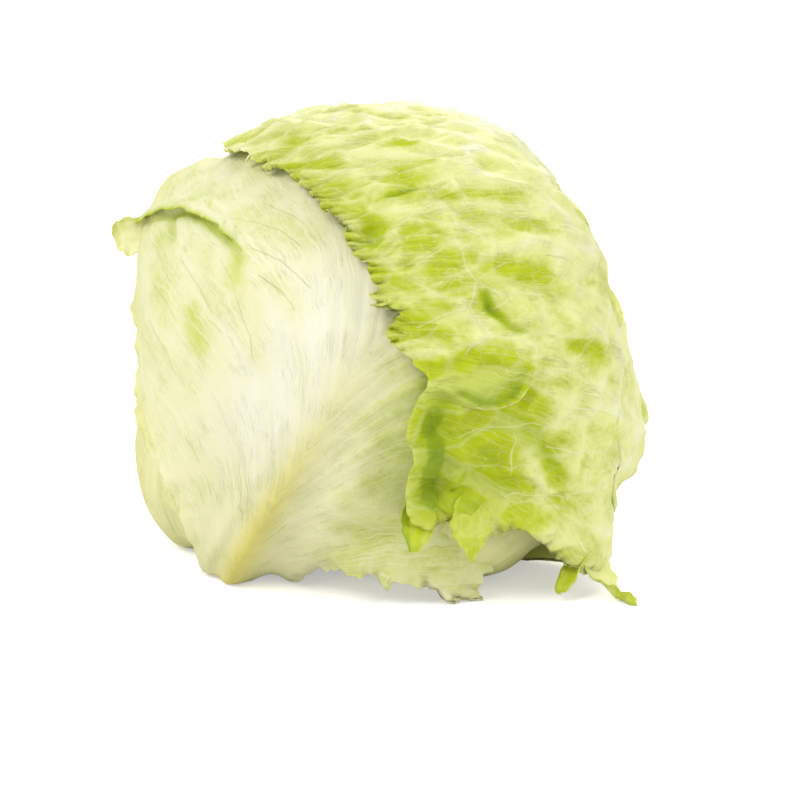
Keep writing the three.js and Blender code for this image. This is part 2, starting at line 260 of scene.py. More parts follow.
class Leaf:
    """A leaf's own plane, laid on the head: x across it and y from its foot to its tip, in degrees
    from the leaf's middle. The outline gives its reach, as (swing from the tip, reach) pairs, and
    a finer rim may be given as (x, y) corners. The blade is stretched out from the hub to the rim."""

    def __init__(self, name, centre, outline, over, foot=34, hang=None, depth=None, rim=None, hub=(0, 0)):
        self.name, self.over, self.foot, self.hang, self.depth = name, list(over), foot, hang, depth
        from_stem, turn = np.radians(centre)
        self.from_stem = centre[0]
        self.outward = math.cos(turn) * RIGHT_OF_AXIS + math.sin(turn) * BACK_OF_AXIS
        self.middle = math.cos(from_stem) * DOWN_STEM + math.sin(from_stem) * self.outward
        self.tip = -math.sin(from_stem) * DOWN_STEM + math.cos(from_stem) * self.outward
        self.side = np.cross(self.tip, self.middle)
        foot = [(swing, centre[0] - STEM_HALF_ANGLE) for swing in (-180, -FOOT_SWING, FOOT_SWING, 180)]
        swings, reaches = zip(*foot[:2], *outline, *foot[2:])
        self.swings = np.arange(-180, 180.01, 0.5)
        rough = np.interp(self.swings, swings, reaches)
        window = np.exp(-(np.arange(-6, 7) / 2.5) ** 2)
        self.reaches = np.convolve(np.pad(rough, 6, mode="wrap"), window / window.sum(), "valid")
        turn = np.radians(self.swings[:-1])
        round_rim = np.stack([self.reaches[:-1] * np.sin(turn), self.reaches[:-1] * np.cos(turn)], 1)
        self.hub = np.array(hub, float)
        self.rim = even_loop(round_rim if rim is None else seen_from(self.hub, smooth_loop(rim)))

    def to_plane(self, d):
        """Where direction d is on the leaf's plane."""
        reach = angle_between(d, self.middle)
        x, y = d @ self.side, d @ self.tip
        length = np.maximum(np.hypot(x, y), 1e-9)
        return reach * x / length, reach * y / length

    def from_plane(self, x, y):
        """The direction of each place on the leaf's plane."""
        reach, swing = np.radians(np.hypot(x, y)), np.arctan2(x, y)
        return unit(np.outer(np.cos(reach), self.middle)
                    + np.outer(np.sin(reach) * np.cos(swing), self.tip)
                    + np.outer(np.sin(reach) * np.sin(swing), self.side))

    def covers(self, d):
        """How far this leaf lies over direction d: 1 under it, fading to 0 beyond its margin."""
        x, y = self.to_plane(d)
        beyond = np.hypot(x, y) - np.interp(np.degrees(np.arctan2(x, y)), self.swings, self.reaches)
        flat = unit(d - (d @ DOWN_STEM)[:, None] * DOWN_STEM)
        neck = 1 - smoothstep(self.foot, self.foot + 25, angle_between(flat, self.outward))
        near_stem = 1 - smoothstep(28, 48, angle_between(d, DOWN_STEM))
        return np.maximum(1 - smoothstep(COVER_OVERHANG, COVER_FADE, beyond), neck * near_stem)

    def depth_at(self, d):
        """How deep this leaf is inside the head's skin, in mm: the more leaves lie over it, the deeper."""
        if self.depth is not None:
            return np.full(len(d), float(self.depth))
        return WRAPPER_PITCH * sum([leaf.covers(d) for leaf in self.over], np.zeros(len(d)))


def noise_at(points, scale, seed=0):
    """Smooth noise from about -1 to 1 at each point, with hills about scale wide."""
    shifted = np.asarray(points) / scale + seed * 7.31
    return np.array([noise.noise(p) for p in shifted.tolist()])


def in_mm(x, y):
    """Places on a leaf's plane as points in mm."""
    return np.stack([x * DEGREE_MM, y * DEGREE_MM, 0 * x], 1)


def slow_sway(flat, scale, seed, reach):
    """Draws veins and folds a little off their straight ways, reach mm at most."""
    across, along = noise_at(flat, scale, seed), noise_at(flat, scale, seed + 1)
    return np.stack([across, along, 0 * along], 1) * reach


def line_gap(points, x, y):
    """How far each place is from a bent line in mm, how far along the line that is from 0 to 1, and
    the way there as a vector in mm."""
    gap, where, way = np.full(len(x), 1e9), np.zeros(len(x)), np.zeros((len(x), 3))
    steps = list(zip(points[:-1], points[1:]))
    for i, ((ax, ay), (bx, by)) in enumerate(steps):
        along = (x - ax) * (bx - ax) + (y - ay) * (by - ay)
        t = np.clip(along / ((bx - ax) ** 2 + (by - ay) ** 2), 0, 1)
        step = np.stack([ax + t * (bx - ax) - x, ay + t * (by - ay) - y, 0 * x], 1) * DEGREE_MM
        length = np.linalg.norm(step, axis=1)
        closer = length < gap
        gap, where = np.where(closer, length, gap), np.where(closer, (i + t) / len(steps), where)
        way = np.where(closer[:, None], step, way)
    return gap, where, way


VEIN_REACH = 20                   # further from a vein than this, in mm, makes no difference
VEIN_END = 3.5                    # a vein thins out at its far end as if it were this much further off


def nearest_line(lines, x, y):
    """The distance in mm to the nearest of the lines, VEIN_REACH at most, and the way there with,
    last, the distance again, made larger where the line thins out at its far end."""
    gap, way = np.full(len(x), float(VEIN_REACH)), np.full((len(x), 3), float(VEIN_REACH))
    for points in lines:
        one, where, step = line_gap(points, x, y)
        step[:, 2] = one + VEIN_END * smoothstep(0.6, 1, where)
        way = np.where((one < gap)[:, None], step, way)
        gap = np.minimum(one, gap)
    return gap, way


def folded(lift, folds, x, y, soft):
    """The lift with the folds added, and the painted shade (deep green) along them, soft times as wide as
    the fold.
    """
    deep_green_and_shade = 0 * x
    for points, height, width, shade in folds:
        gap, where, _ = line_gap(points, x, y)
        taper = np.sqrt(np.clip(4 * where * (1 - where), 0, 1)) if len(points) > 2 else 1
        lift = lift + height * (bell(gap, width) * taper)
        deep_green_and_shade = deep_green_and_shade + shade * np.exp(-(gap / width / soft) ** 2) * taper
    return lift, deep_green_and_shade


def patched(patches, x, y, ragged=0, edge=2):
    """How green the patches are at each place. Their margins wander by ragged, in mm."""
    patch = 0 * x
    for ax, ay, bx, by, width, amount in patches:
        gap, _, _ = line_gap([(ax, ay), (bx, by)], x, y)
        patch = np.maximum(patch, amount * np.exp(-(np.abs(gap + ragged) / width) ** edge))
    return patch


def crackle(places, cell):
    """The distance to the nearest wall between irregular cells, in mm, and the way there with, last,
    the distance again."""
    gaps, ways = [], []
    for p in (places / cell).tolist():
        near, seeds = noise.voronoi(p)
        across = seeds[1] - seeds[0]
        gap = (near[1] - near[0]) * cell / 2
        gaps.append(gap)
        ways.append((*(across.normalized() * gap)[:2], gap))
    return np.array(gaps), np.array(ways)


def blade_grid(name, across, along):
    """A flat square mesh with a sharp edge, and its points' places in it, from -1 to 1."""
    bm = bmesh.new()
    bmesh.ops.create_grid(bm, x_segments=across, y_segments=along, size=1)
    for edge in bm.edges:
        edge.smooth = not edge.is_boundary
    mesh = bpy.data.meshes.new(name)
    bm.to_mesh(mesh)
    bm.free()
    flat = np.empty(len(mesh.vertices) * 3)
    mesh.vertices.foreach_get("co", flat)
    return mesh, flat.reshape(-1, 3)[:, 0], flat.reshape(-1, 3)[:, 1]


def finished_blade(name, mesh, points, marks, thickness):
    """Moves the grid's points to their places in mm, stores the marks and gives it its thickness."""
    mesh.vertices.foreach_set("co", (points * MM).ravel())
    for mark in ("leaf_mm", "strand_marks", "tint_and_shade_marks", "vein_way", "wall_way"):
        layer = mesh.attributes.new(mark, "FLOAT_VECTOR", "POINT")
        layer.data.foreach_set("vector", marks[mark].astype(np.float32).ravel())
    mesh.update()
    for polygon in mesh.polygons:
        polygon.use_smooth = True
    piece = bpy.data.objects.new(name + "_blade", mesh)
    bpy.context.scene.collection.objects.link(piece)
    wall = piece.modifiers.new("blade thickness", "SOLIDIFY")
    wall.thickness = thickness * MM
    wall.offset = -1
    return piece


LEAST_HEIGHT = 0.05               # the lowest points stay this far above the surface, in mm


def marked(lift, flat, strand, along, yellow, vein_way, wall_way, green, deep_green_and_shade, rib):
    """What a leaf's form says: how far each place lifts off, and the marks for its tissue."""
    return {"lift": lift, "leaf_mm": flat, "strand_marks": np.stack([strand, along, yellow], 1),
            "vein_way": vein_way, "wall_way": wall_way, "tint_and_shade_marks": np.stack([green, deep_green_and_shade, rib], 1)}


def leaf_object(leaf, cells, shape, thickness, finer=(0, 0), fringe=None, lobes=()):
    """The leaf's blade: a square grid drawn into a disc, stretched to the rim, laid on the head and
    formed by shape(leaf, places), which lifts it and marks it for the material. finer draws the
    grid's lines together to the left (below 0) or right, and to the foot or tip. Each lobe draws the
    margin near a place out along its own way: (x, y, way x, way y, half width, sharpness), pointed
    for sharpness 2 and blunter above."""
    mesh, u, v = blade_grid(leaf.name, cells, cells)
    u, v = u + finer[0] * (1 - u * u), v + finer[1] * (1 - v * v)
    disc_x, disc_y = u * np.sqrt(1 - v * v / 2), v * np.sqrt(1 - u * u / 2)

    rim = leaf.rim
    step = np.linalg.norm(rim[1] - rim[0]) * DEGREE_MM
    run = np.arange(RIM_STEPS) * step
    teeth = fringe(rim[:-1], run) / DEGREE_MM if fringe else np.zeros(RIM_STEPS)
    torn = rim + unit(rim - leaf.hub) * np.append(teeth, teeth[0])[:, None]
    share = np.arange(RIM_STEPS + 1) / RIM_STEPS
    reach = np.hypot(disc_x, disc_y)
    at = 0.5 + np.arctan2(disc_x, disc_y) / (2 * math.pi)
    edge = np.stack([np.interp(at, share, rim[:, 0]), np.interp(at, share, rim[:, 1])], 1)
    torn_edge = np.stack([np.interp(at, share, torn[:, 0]), np.interp(at, share, torn[:, 1])], 1)
    drawn = leaf.hub + reach[:, None] * (edge - leaf.hub)
    drawn = drawn + smoothstep(0.93, 1.0, reach)[:, None] * (torn_edge - edge)
    for lobe_x, lobe_y, way_x, way_y, wide, sharpness in lobes:
        gap = np.linalg.norm(edge - (lobe_x, lobe_y), axis=1)
        pull = np.exp(-(gap / wide) ** sharpness) * smoothstep(0.88, 1.0, reach)
        drawn = drawn + pull[:, None] * (way_x, way_y)
    x, y = drawn.T

    tree = kdtree.KDTree(RIM_STEPS)
    for i, (rx, ry) in enumerate(rim[:-1].tolist()):
        tree.insert((rx, ry, 0), i)
    tree.balance()
    found = [tree.find((px, py, 0)) for px, py in zip(x.tolist(), y.tolist())]
    margin = np.array([f[2] for f in found]) * DEGREE_MM
    nearest = np.array([f[1] for f in found])
    places = {"x": x, "y": y, "margin": margin, "around": nearest * step, "rim": rim[nearest],
              "direction": leaf.from_plane(x, y)}
    formed = shape(leaf, places)
    depth = leaf.depth_at(places["direction"]) - formed["lift"]
    points = skin_point(places["direction"], depth, leaf.hang)
    points[:, 2] = np.maximum(points[:, 2], thickness + LEAST_HEIGHT)
    piece = finished_blade(leaf.name, mesh, points, formed, thickness)
    if np.array(mesh.polygons[len(mesh.polygons) // 2].normal) @ leaf.middle < 0:
        mesh.flip_normals()
    return piece


# ---- Lettuce leaf tissue ---------------------------------------------------------------------
# Crisp, watery leaf: near white and juicy by the ribs, yellow-green where the blade thins out
# between the veins. Painted shade makes its folds and hollows deep green, and a painted glow of light
# through the thin margin yellows the right leaf's edge. A thin waxy skin gives it a soft satin shine.

STREAK_MM = 1.3                   # fine strands along the veins
NET_CELL_MM = 4.2                 # the finest net of veins, drawn a little coarse so that it shows
CLOUD_MM = 13                     # patches where the tissue is denser or thinner
MOTTLE_MM = 1.8                   # the fine grain of its surface
VEIN_RELIEF = 0.5 * MM
THROUGH = 0.12                    # the share of light that goes through the thin blade
SHINE = 0.42                      # the roughness of its waxy skin
JUICY_WHITE_AND_HIGHLIGHT, MARGIN_YELLOW_AND_GLOW, RIB_YELLOW = "#fbfaf1", "#e2e078", "#ded578"
DARK_VEIN_AND_VEIN_SHADOW, LIT_THROUGH = "#a3ac62", "#d4e060"


def leaf_tissue(name, pale, green, deep_green_and_shade, vein, line, line_mm, lines, streaks, net, hairs):
    """pale, green and the deep green are the blade's colours; the deep green also paints the shade in its
    folds and hollows. vein is the ribs' colour and line the large side veins', each line_mm to either
    side. lines, streaks, net and hairs are how strongly the side veins, the strands along them, the fine
    net between them with the painted shadow beside the large veins, and the thinnest dark veins show."""
    material = bpy.data.materials.new(name)
    material.use_nodes = True
    tree = material.node_tree
    tree.nodes.clear()

    def node(kind, inputs=(), **settings):
        return add_node(tree, "ShaderNode" + kind, inputs, **settings).outputs

    def ramp(value, low, high, start=0.0, end=1.0):
        return node("MapRange", {"Value": value, "From Min": low, "From Max": high, "To Min": start,
                                 "To Max": end}, interpolation_type="SMOOTHSTEP")[0]

    def blend(amount, under, over):
        return node("Mix", {"Factor": amount, "A": under, "B": over}, data_type="RGBA")["Result"]

    def product(one, other):
        return node("Math", {0: one, 1: other}, operation="MULTIPLY")[0]

    def stored(name):
        return node("SeparateXYZ", {0: node("Attribute", attribute_name=name)["Vector"]})

    flat = node("Attribute", attribute_name="leaf_mm")["Vector"]
    strand, along, yellow_and_glow = stored("strand_marks")
    greenness, depth, rib = stored("tint_and_shade_marks")

    def line_marks(name):
        """The distance to a line in mm from the way to it; far off, where that way flips, it is large."""
        way_x, way_y, far = stored(name)
        way = node("CombineXYZ", {0: way_x, 1: way_y})[0]
        gap = node("VectorMath", {0: way}, operation="LENGTH")["Value"]
        return node("Math", {0: ramp(far, 1.2, 3.4, 0.0, 2.5), 1: gap}, operation="ADD")[0]

    main_vein, wall = line_marks("vein_way"), line_marks("wall_way")

    # Strands: long streaks that follow the veins, and wander a little.
    wander = node("TexNoise", {"Vector": flat, "Scale": 1 / 8, "Detail": 2})["Color"]
    course = node("CombineXYZ", {0: strand, 1: along})[0]
    course = node("VectorMath", {0: wander, 1: (5.0, 0, 0), 2: course}, operation="MULTIPLY_ADD")[0]
    course = node("VectorMath", {0: course, 1: (1 / STREAK_MM, 1 / 30, 0)}, operation="MULTIPLY")[0]
    streak = node("TexNoise", {"Vector": course, "Scale": 1.0, "Detail": 3, "Roughness": 0.6},
                  noise_dimensions="2D")["Fac"]
    # The net between the veins, only here and there.
    bent = node("VectorMath", {0: wander, 1: (7, 7, 0), 2: flat}, operation="MULTIPLY_ADD")[0]
    web = node("TexVoronoi", {"Vector": bent, "Scale": 1 / NET_CELL_MM}, feature="DISTANCE_TO_EDGE",
               voronoi_dimensions="2D")["Distance"]
    cloud = node("TexNoise", {"Vector": flat, "Scale": 1 / CLOUD_MM, "Detail": 4, "Roughness": 0.65})["Fac"]
    mottle = node("TexNoise", {"Vector": flat, "Scale": 1 / MOTTLE_MM, "Detail": 3})["Fac"]
    net_line = product(product(ramp(web, 0.0, 0.11, 1.0, 0.0), ramp(cloud, 0.4, 0.62)), net)
    streak_line = product(ramp(streak, 0.48, 0.7), streaks)
    wall_line = product(ramp(wall, 0.1, 0.8, 0.6, 0.0), net * 2.0)
    fade = ramp(cloud, 0.3, 0.6, 0.4, 1.0)
    vein_line = product(ramp(main_vein, line_mm * 0.3, line_mm, lines, 0.0), fade)
    # Painted shadow that lines both sides of each large vein.
    vein_shadow = product(ramp(main_vein, line_mm * 0.8, line_mm * 1.2),
                     ramp(main_vein, line_mm, line_mm * 2, 0.45, 0.0))
    hair = node("Math", {0: streak, 1: 0.5}, operation="SUBTRACT")[0]
    hair = node("Math", {0: hair}, operation="ABSOLUTE")[0]
    hair_line = product(product(ramp(hair, 0.006, 0.022, 1.0, 0.0), ramp(cloud, 0.42, 0.6)), hairs)

    amount = node("Math", {0: ramp(cloud, 0.3, 0.7, -0.22, 0.22), 1: greenness}, operation="ADD")[0]
    amount = node("Math", {0: ramp(mottle, 0.3, 0.7, -0.07, 0.07), 1: amount}, operation="ADD")[0]
    amount = ramp(amount, -0.1, 1.08)
    # Below 0 the blade turns white: the juicy white by the ribs, and a painted highlight on the right
    # leaf's top and ridges.
    white_and_highlight = node("Math", {0: greenness, 1: -1.0}, operation="MULTIPLY", use_clamp=True)[0]
    colour = blend(amount, blend(white_and_highlight, srgb(pale), srgb(JUICY_WHITE_AND_HIGHLIGHT)), srgb(green))
    # The yellow mark: the tissue's own yellow, and on the right leaf a painted glow through its thin margin
    # and a painted highlight on its frill crests.
    colour = blend(yellow_and_glow, colour, srgb(MARGIN_YELLOW_AND_GLOW))
    # Painted shade: the deep green darkens folds, hollows and the curl's groove, with some of the tissue's
    # own deeper green.
    colour = blend(depth, colour, srgb(deep_green_and_shade))
    shallow = node("Math", {0: depth, 1: -0.8, 2: 1.0}, operation="MULTIPLY_ADD")[0]
    for mark in (net_line, streak_line, wall_line):
        colour = blend(product(mark, shallow), colour, srgb(vein))
    colour = blend(product(vein_line, shallow), colour, srgb(line))
    # Painted shadow beside the large veins, and the thinnest dark veins.
    for mark in (product(vein_shadow, net), hair_line):
        colour = blend(mark, colour, srgb(DARK_VEIN_AND_VEIN_SHADOW))
    colour = blend(rib, colour, srgb(RIB_YELLOW))

    height = product(streak, streaks * 1.6)
    relief = ((net_line, 0.8), (wall_line, 0.7), (vein_line, 0.8), (mottle, 0.4), (hair_line, -0.6))
    for mark, share in relief:
        height = node("Math", {0: mark, 1: share, 2: height}, operation="MULTIPLY_ADD")[0]
    bump = node("Bump", {"Height": height, "Strength": 0.7, "Distance": VEIN_RELIEF})[0]
    skin = node("BsdfPrincipled", {
        "Base Color": colour, "Roughness": SHINE, "IOR": 1.4, "Specular IOR Level": 0.3, "Normal": bump,
        "Subsurface Weight": 0.15, "Subsurface Radius": (1.0, 1.0, 0.25), "Subsurface Scale": 3.0 * MM})[0]
    glow = node("BsdfTranslucent", {"Color": blend(0.35, colour, srgb(LIT_THROUGH)), "Normal": bump})[0]
    tissue = node("MixShader", {0: THROUGH, 1: skin, 2: glow})[0]
    add_node(tree, "ShaderNodeOutputMaterial", {"Surface": tissue})
    return material


green_tissue = leaf_tissue(
    "green_outer_leaf", "#e8ea9b", "#b9c704", "#8ca600", "#efefb8", "#f1f2c6", 0.5, 0.42, 0.14, 0.2, 0.3)
pale_tissue = leaf_tissue(
    "pale_wrapper_leaf", "#ece9ba", "#cdd668", "#b3c41c", "#f6f5de", "#b4bc70",
    0.26, 0.45, 0.26, 0.05, 0.25)
inner_tissue = leaf_tissue(
    "inner_leaf", "#ebeabc", "#d8e08e", "#c6d456", "#f3f1d6", "#f3f1d6", 0.5, 0.5, 0.4, 0.15, 0.3)
heart_tissue = leaf_tissue(
    "heart_leaf", "#ece4a0", "#dfda7c", "#d0d05c", "#f3edc4", "#f3edc4", 0.5, 0.5, 0.4, 0.15, 0.2)


def vein_course(x, y, rib_x, rise, fade):
    """A number that is the same all along a side vein, which leaves the midrib at a steep angle and
    bends outward, and how far along it each place is, both in mm."""
    out = np.abs(x - rib_x)
    return (y - rise * (1 - np.exp(-out / fade))) * DEGREE_MM, out * DEGREE_MM


# A plain leaf's veins, from its foot up: the midrib, and side veins that leave it and bend upwards.
PLAIN_VEINS = [[(0, -75), (0, -30), (2, 10), (0, 50)]] + [
    [(0, start), (side * 12, start + 14), (side * 26, start + 24), (side * 42, start + 28)]
    for start, side in ((-48, 1), (-40, -1), (-26, 1), (-16, -1), (0, 1), (10, -1), (26, 1), (34, -1))]


def plain_form(greenness=0.35, crinkle=1.0, ruffle=1.5, seed=0, yellow=0.0, bellies=()):
    """The form of a leaf that mostly hides under others: puffed cells, side veins, waved margin. A
    belly is where it sags outwards: azimuth, elevation, how far in mm and how wide in degrees."""
    def shape(leaf, places):
        x, y, margin = places["x"], places["y"], places["margin"]
        flat = in_mm(x, y)
        sway = slow_sway(flat, 26, seed + 1, 7)
        wall, wall_way = crackle((flat + sway) * (0.7, 1, 1) + (seed * 31, 0, 0), 17)
        strand, along = vein_course(x, y, 0, 60, 22)
        vein, vein_way = nearest_line(PLAIN_VEINS, x + sway[:, 0] * 0.2, y + sway[:, 1] * 0.2)
        puff = np.minimum(wall / 4, 1)
        big = noise_at(places["direction"] * SKIN_RADIUS, 30, seed + 3)
        wave = np.sin(places["around"] / 2.9 + 4 * noise_at(flat, 18, seed + 4))
        from_foot = leaf.from_stem + y
        smooth = smoothstep(20, 75, from_foot)
        lift = (crinkle * smooth * (0.7 * puff + 0.8 * big - 0.6)
                + ruffle * smooth * wave * np.exp(-margin / 6)
                + 0.4 * bell(vein, 1.2)
                + 1.5 * bell(x, 5) * (1 - smoothstep(15, 100, from_foot)))
        for azimuth, height, out, wide in bellies:
            lift = lift + out * swell(places["direction"], azimuth, height, wide)
        green = greenness * smooth + 0.25 * np.exp(-margin / 12) + 0.1 * puff - 0.1
        return marked(lift, flat + (seed * 53, 0, 0), strand, along, yellow + 0 * x, vein_way, wall_way,
                      green, 0 * x, 0.5 * bell(x, 6) * (1 - smooth))
    return shape


def dress(piece, node, material):
    """Gives a blade its tissue, hangs it on the root body and hides the solid that it stands for."""
    piece.data.materials.append(material)
    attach(piece, "root")
    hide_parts(node)


DETAIL = 1.0
FULL_CELLS = int(218 * DETAIL)    # the grid of the two leaves that show most
SKIN_RADIUS = 75                  # the size of the head in its slowest waves


# ---- Right wrapper leaf ----------------------------------------------------------------------
# The outermost leaf, loose and half wilted, the greenest one. Its midrib is behind on the right;
# the blade wraps over the top and hangs down the front, crinkled, with a ruffled torn margin.

RIGHT_OUTLINE = [
    (-168, 68), (-158, 51), (-148, 46), (-138, 51), (-131, 59), (-126, 64), (-120, 68), (-116, 78),
    (-112, 91), (-104, 97), (-92, 100), (-80, 100), (-66, 107), (-50, 115), (-30, 125), (-6, 134),
    (12, 137), (30, 134), (50, 120), (75, 100), (105, 82), (135, 64), (155, 56), (168, 68)]
# The margin itself, from the foot up the left side, over the tip and down the right: the tail and
# the tongue that trail at the lower right, the torn lobes, the hanging strip, the ruffled edge.
RIGHT_RIM = [
    (0, -90), (-12, -88), (-15, -66), (-20, -47), (-28, -38), (-36, -38), (-44, -39), (-52, -38),
    (-58, -34), (-62, -32), (-67, -31), (-71, -34), (-76, -36), (-80, -34), (-84, -36), (-90, -34),
    (-95, -25), (-97, -13), (-100, -5), (-99, 7), (-96, 15), (-98, 20), (-100, 26), (-101, 33),
    (-97, 41), (-99, 47), (-95, 56), (-92, 65), (-91, 72), (-86, 77), (-80, 88), (-75, 94),
    (-67, 103), (-54, 114), (-37, 126), (-14, 133), (27, 134), (67, 116), (92, 77), (97, 26),
    (79, -21), (45, -45), (24, -51), (14, -66), (12, -88)]
right_leaf = Leaf("wrapper_leaf_right", (105, 15), RIGHT_OUTLINE, [], rim=RIGHT_RIM, hub=(-50, 8),
                  hang={"below": -22, "until": -48, "from": -112, "to": -32, "share": 1})

# The larger veins: those that stand out on the front of the blade, then, from (0, -85) on, the
# midrib at the rear and its side veins.
RIGHT_VEINS = [
    [(-68, 72), (-68, 66), (-66, 62), (-65, 57), (-64, 53), (-60, 50), (-52, 47), (-50, 43), (-51, 36),
     (-54, 32)],
    [(-75, 45), (-68, 47), (-60, 48)],
    [(-75, 45), (-74, 50), (-72, 55), (-70, 60), (-68, 66)],
    [(-84, 56), (-78, 58), (-70, 60)],
    [(-75, 45), (-78, 42), (-81, 38), (-81, 33), (-79, 28), (-75, 26), (-70, 24), (-65, 22)],
    [(-81, 40), (-85, 44), (-87, 50), (-90, 54)],
    [(-81, 38), (-88, 37), (-93, 35), (-98, 33)],
    [(-80, 28), (-85, 25), (-88, 21)],
    [(-75, 44), (-74, 39), (-70, 38), (-66, 36)],
    [(-62, 82), (-60, 77), (-57, 75), (-51, 71), (-48, 67), (-42, 63)],
    [(-56, 63), (-52, 57), (-46, 54)],
    [(-52, 96), (-42, 90), (-41, 84), (-34, 81), (-30, 75), (-25, 70)],
    # Not a vein: a pale line painted as the highlight along the sharp bend under the pouch.
    [(-71, 23), (-73, 17), (-74, 12), (-77, 7), (-81, 5), (-85, 5), (-89, 8), (-93, 12)],
    [(-88, -5), (-84, -2), (-78, -1), (-72, 0), (-68, -1), (-61, 0)],
    [(-76, -2), (-75, -10), (-74, -17)],
    [(-72, -23), (-68, -21), (-63, -21), (-58, -21), (-52, -22), (-38, -27)],
    [(-52, -22), (-50, -17), (-52, -10)],
    [(-66, -7), (-58, -8), (-53, -8)],
    [(-63, 4), (-56, 3), (-48, 0), (-39, -3)],
    [(-53, 12), (-52, 7), (-46, 2), (-37, -4)],
    [(0, -85), (1, -40), (3, 0), (0, 40), (-4, 80)], [(1, -44), (14, -24), (26, -14)],
    [(1, -34), (-12, -14), (-24, -6)], [(2, -10), (20, 12), (38, 22)], [(3, 0), (-12, 20), (-28, 32)],
    [(1, 24), (20, 46), (40, 54)],
    [(0, 36), (-14, 54), (-26, 62)], [(-1, 56), (18, 78), (36, 86)], [(-3, 70), (-16, 90), (-22, 100)]]
# Folds: a bent line, how far it stands out (or in), how wide it is, how much painted shade (deep
# green) lies along it, below 0 taking that shade away.
RIGHT_FOLDS = [
    ([(-93, 12), (-89, 8), (-85, 5), (-81, 5), (-77, 7), (-74, 12), (-73, 17), (-71, 23)], 1.3, 0.9, -0.8),
    ([(-91, 13.2), (-88, 9.8), (-84.5, 7), (-81, 7), (-78, 8.6), (-75.6, 12.6), (-74.8, 17.5)],
     0, 1.7, 0.75),
    ([(-76, 42), (-77, 36), (-75, 30), (-72, 27)], -1.1, 1.1, 1.0),
    ([(-73, 42), (-73.5, 36), (-71, 30)], 2.0, 2.0, -0.2),
    ([(-74, -1), (-70, -3), (-66, -9), (-57, -18)], -1.0, 1.6, 0.35),
    ([(-65, 30), (-63, 32), (-58, 33), (-51, 29)], -1.0, 1.5, 0.1),
    ([(-63, 22), (-57, 20), (-52, 20)], -0.8, 1.4, 0.2),
    ([(-75, 81), (-81, 76), (-86, 68)], -1.8, 2.2, 0.3),
    ([(-66, 82), (-60, 80)], -1.4, 1.2, 0.5),
    ([(-76, -3), (-75, -10), (-74, -17)], 2.2, 2.0, -0.4)]
# Patches where the blade is thin between the veins and shows greener: a stroke from place to place,
# its width in mm, how green.
RIGHT_PATCHES = [
    (66, 114, 52, 120, 5, 1.0), (50, 122, 30, 129, 4, 0.7), (-8, 124, -30, 119, 5, 0.7),
    (-44, 112, -54, 104, 4, 0.6),
    (-6, 125, -20, 118, 7, 0.5), (-23, 112, -14, 108, 6, 0.35), (-48, 112, -36, 103, 7, 0.45),
    (-40, 97, -35, 92, 3.5, 0.7), (-54, 94, -45, 86, 4.5, 0.6), (-61, 91, -57, 87, 4.5, 0.6),
    (-57, 84, -51, 79, 6, 0.45), (-53, 75, -48, 71, 3, 0.5), (-2, 95, 0, 88, 6, 0.5),
    (-11, 89, -9, 85, 3, 0.5),
    (-52, 68, -45, 61, 6, 0.5), (-62, 64, -57, 59, 5, 0.6), (-55, 57, -46, 50, 4.5, 0.6),
    (-61, 76, -57, 70, 5, 0.5), (-66, 84, -59, 78, 5, 0.6), (-83, 72, -77, 64, 7, 0.35),
    (-74, 82, -86, 69, 3, 0.6), (-78, 66, -70, 58, 9, 0.45), (-75, 60, -72, 52, 5, 0.6),
    (-84, 56, -76, 52, 6, 0.5), (-69, 46, -61, 38, 9, 0.55), (-82, 47, -79, 41, 5, 0.45),
    (-84, 15, -79, 13, 6, 1.0), (-97, 45, -91, 50, 8, 0.7), (-93, 60, -88, 56, 6, 0.4),
    (-92, 44, -88, 40, 5, 0.6),
    (-96, 36, -92, 28, 5, 0.8), (-95, 22, -91, 15, 4.5, 0.8), (-89, 22, -84, 18, 6, 0.6),
    (-79, 23, -77, 15, 4.5, 0.8), (-60, 21, -54, 18, 2.5, 0.7), (-52, 14, -50, 10, 3, 0.4),
    (-73, 20, -69, 18, 2.5, 0.4), (-74, 6, -69, 5, 4, 0.35), (-96, 0, -92, -12, 5, 0.9),
    (-92, -12, -88, -28, 5, 0.9), (-88, -12, -83, -18, 6, 0.7), (-82, -6, -77, -13, 6, 0.6),
    (-79, -22, -75, -26, 6, 0.8), (-73, -2, -70, -5, 3, 0.6), (-67, -8, -57, -19, 2.6, 0.6),
    (-66, -5, -59, -6, 4, 0.4), (-71, -20, -67, -20, 4, 0.7), (-50, -17, -46, -21, 7, 0.3),
    (-66, -27, -58, -29, 6, 0.35), (-88, -34, -81, -46, 5, 0.9), (-72, -36, -69, -42, 5, 0.6)]


RIGHT_THICKNESS = 0.45
# How far the forms of its margin stand out, in mm, and how far in they reach.
FRILL_OUT, FRILL_REACH = 3.4, 3.2
CURL_OUT, CURL_REACH = 5.0, 3.8
POUCH_OUT = 2.4
POUCH_MIDDLE, POUCH_HALF = (-83, 17), (11.5, 12.5)
PAINTED_TOP_HIGHLIGHT = (35, 58)              # where a painted highlight whitens the top right
PATCH_HOLLOW = 0.8


def right_fringe(rim, run):
    """How far the margin's teeth stand out, in mm: torn into small lobes on the free left side."""
    along = np.stack([run, 0 * run, 0 * run], 1)
    free = smoothstep(0, -20, rim[:, 0]) * smoothstep(-46, -34, rim[:, 1])
    high = smoothstep(20, 40, rim[:, 1])
    strip = (smoothstep(-80, -86, rim[:, 0]) * smoothstep(-34, -26, rim[:, 1])
             * (1 - smoothstep(8, 18, rim[:, 1])))
    teeth = (1.3 + 1.6 * high) * noise_at(along, 4.5, 8) + (1.5 + 1.5 * high) * noise_at(along, 9, 9)
    return free * (1 - 0.75 * strip) * (teeth - 3.6 * np.clip(noise_at(along, 6, 10) - 0.25, 0, 1))


